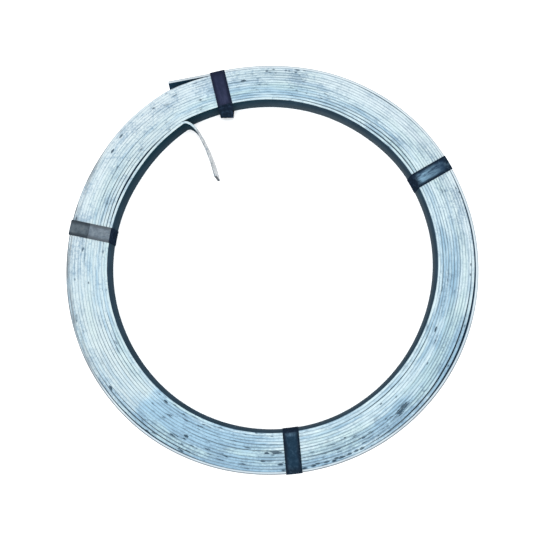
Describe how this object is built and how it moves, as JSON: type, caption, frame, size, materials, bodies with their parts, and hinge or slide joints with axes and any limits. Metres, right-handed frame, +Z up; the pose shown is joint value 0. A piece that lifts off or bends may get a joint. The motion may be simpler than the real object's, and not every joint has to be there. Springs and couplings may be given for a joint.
{
  "type": "strapped coil of galvanized flat bar",
  "caption": "Galvanized flat bar wound on its flat into a flat ring-shaped coil, with loose inner and outer ends, held by steel packing straps.",
  "frame": {"origin": "on the coil's axis, at the level of the floor that the strapped coil lies on", "axes": "+Z up along the coil's axis, +X to the picture's right, +Y to the picture's top, where the slack strap and both loose ends are"},
  "size_m": [0.6616, 0.6622, 0.0328],
  "materials": {
    "zinc": "hot-dip galvanized, pale bluish zinc edges, dull darker flats",
    "strap_blue": "blued steel strap, semi-gloss, scuffed",
    "strap_dark": "dark lacquered steel strap, semi-gloss",
    "strap_grey": "worn grey steel strap, satin"
  },
  "bodies": {
    "root": {"flat_bar_coil": "zinc", "right_strap": "strap_blue", "back_strap": "strap_dark", "left_strap": "strap_grey", "front_strap": "strap_blue"}
  },
  "joints": []
}
